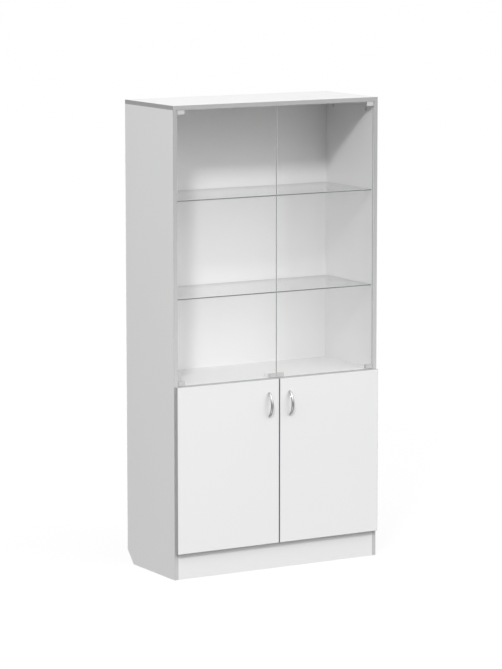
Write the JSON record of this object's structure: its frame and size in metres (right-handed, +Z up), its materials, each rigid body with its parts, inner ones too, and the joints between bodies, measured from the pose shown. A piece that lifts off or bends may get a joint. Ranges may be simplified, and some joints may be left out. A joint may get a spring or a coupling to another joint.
{
  "type": "display cabinet",
  "caption": "Tall white laminated cabinet: glass shelves behind clear glass doors above, a cupboard with solid doors and bow handles below, standing on its sides and a plinth.",
  "frame": {"origin": "on the floor, at the middle of the whole cabinet's footprint with its handles", "axes": "+Z up, -Y towards the front and the handles, +X to the right as seen from the front"},
  "size_m": [0.9, 0.422, 1.8],
  "materials": {
    "white_board": "white melamine-faced chipboard, fine satin texture",
    "edge_band": "light grey edge band, satin",
    "back_sheet": "hard fibreboard, white-lacquered on the inside",
    "clear_glass": "clear float glass with ground edges",
    "satin_nickel": "satin nickel on zinc",
    "bright_chrome": "polished chrome",
    "nickel_steel": "nickel-plated pressed steel",
    "zinc_screws": "bright zinc-plated",
    "beech": "fluted beech",
    "white_plastic": "moulded, satin",
    "clear_rubber": "translucent soft plastic"
  },
  "bodies": {
    "carcass": {"back_panel": "back_sheet", "back_panel_nails": "zinc_screws", "bottom_edge_band": "edge_band", "bottom_panel": "white_board", "bottom_pivot_bushes": "white_plastic", "cam_bolts": "zinc_screws", "cam_locks": "zinc_screws", "glass_shelf_pads": "clear_rubber", "glass_shelf_pins": "nickel_steel", "hinge_arm_screws": "zinc_screws", "hinge_plate_screws": "zinc_screws", "latch_housing": "white_plastic", "latch_screws": "zinc_screws", "left_hinge_arms": "nickel_steel", "left_hinge_plates": "nickel_steel", "left_side_edge_band": "edge_band", "left_side_panel": "white_board", "lower_glass_shelf": "clear_glass", "lower_shelf": "white_board", "lower_shelf_edge_band": "edge_band", "lower_shelf_pins": "nickel_steel", "middle_shelf": "white_board", "middle_shelf_edge_band": "edge_band", "plinth_board": "white_board", "right_hinge_arms": "nickel_steel", "right_hinge_plates": "nickel_steel", "right_side_edge_band": "edge_band", "right_side_panel": "white_board", "top_edge_bands": "edge_band", "top_panel": "white_board", "top_pivot_bushes": "white_plastic", "upper_glass_shelf": "clear_glass", "wood_dowels": "beech"},
    "left_glass_leaf": {"left_glass_door": "clear_glass", "left_glass_door_clips": "satin_nickel", "left_clip_screws_and_pads": "zinc_screws", "left_strike_plate": "satin_nickel"},
    "left_lower_leaf": {"left_lower_door": "white_board", "left_door_edge_bands": "edge_band", "left_door_handle": "bright_chrome", "left_handle_screws": "zinc_screws", "left_hinge_cups": "nickel_steel", "left_cup_screws": "zinc_screws", "left_door_bumpers": "clear_rubber"},
    "left_links": {"left_hinge_links": "nickel_steel"},
    "left_plunger": {"left_latch_plunger": "nickel_steel"},
    "right_glass_leaf": {"right_glass_door": "clear_glass", "right_glass_door_clips": "satin_nickel", "right_clip_screws_and_pads": "zinc_screws", "right_strike_plate": "satin_nickel"},
    "right_lower_leaf": {"right_lower_door": "white_board", "right_door_edge_bands": "edge_band", "right_door_handle": "bright_chrome", "right_handle_screws": "zinc_screws", "right_hinge_cups": "nickel_steel", "right_cup_screws": "zinc_screws", "right_door_bumpers": "clear_rubber"},
    "right_links": {"right_hinge_links": "nickel_steel"},
    "right_plunger": {"right_latch_plunger": "nickel_steel"}
  },
  "joints": [
    {"name": "left_glass_door_swing", "type": "hinge", "parent": "carcass", "child": "left_glass_leaf", "pos_m": [-0.424, -0.162, 0.746], "axis": [0, 0, -1], "range_deg": [0, 100]},
    {"name": "left_lower_door_swing", "type": "hinge", "parent": "carcass", "child": "left_lower_leaf", "pos_m": [-0.4395, -0.178, 0.102], "axis": [0, 0, -1], "range_deg": [0, 95]},
    {"name": "left_link_swing", "type": "hinge", "parent": "carcass", "child": "left_links", "pos_m": [-0.4285, -0.1635, 0.192], "axis": [0, 0, -1], "range_deg": [0, 57]},
    {"name": "left_latch_press", "type": "slide", "parent": "carcass", "child": "left_plunger", "axis": [0, 1, 0], "range_m": [0, 0.002], "stiffness_N_per_m": 400, "springref_m": -0.002},
    {"name": "right_glass_door_swing", "type": "hinge", "parent": "carcass", "child": "right_glass_leaf", "pos_m": [0.424, -0.162, 0.746], "axis": [0, 0, 1], "range_deg": [0, 100]},
    {"name": "right_lower_door_swing", "type": "hinge", "parent": "carcass", "child": "right_lower_leaf", "pos_m": [0.4395, -0.178, 0.102], "axis": [0, 0, 1], "range_deg": [0, 95]},
    {"name": "right_link_swing", "type": "hinge", "parent": "carcass", "child": "right_links", "pos_m": [0.4285, -0.1635, 0.192], "axis": [0, 0, 1], "range_deg": [0, 57]},
    {"name": "right_latch_press", "type": "slide", "parent": "carcass", "child": "right_plunger", "axis": [0, 1, 0], "range_m": [0, 0.002], "stiffness_N_per_m": 400, "springref_m": -0.002}
  ],
  "couplings": [
    {"joint": "left_link_swing", "follows": "left_lower_door_swing", "ratio": 0.6},
    {"joint": "right_link_swing", "follows": "right_lower_door_swing", "ratio": 0.6}
  ]
}
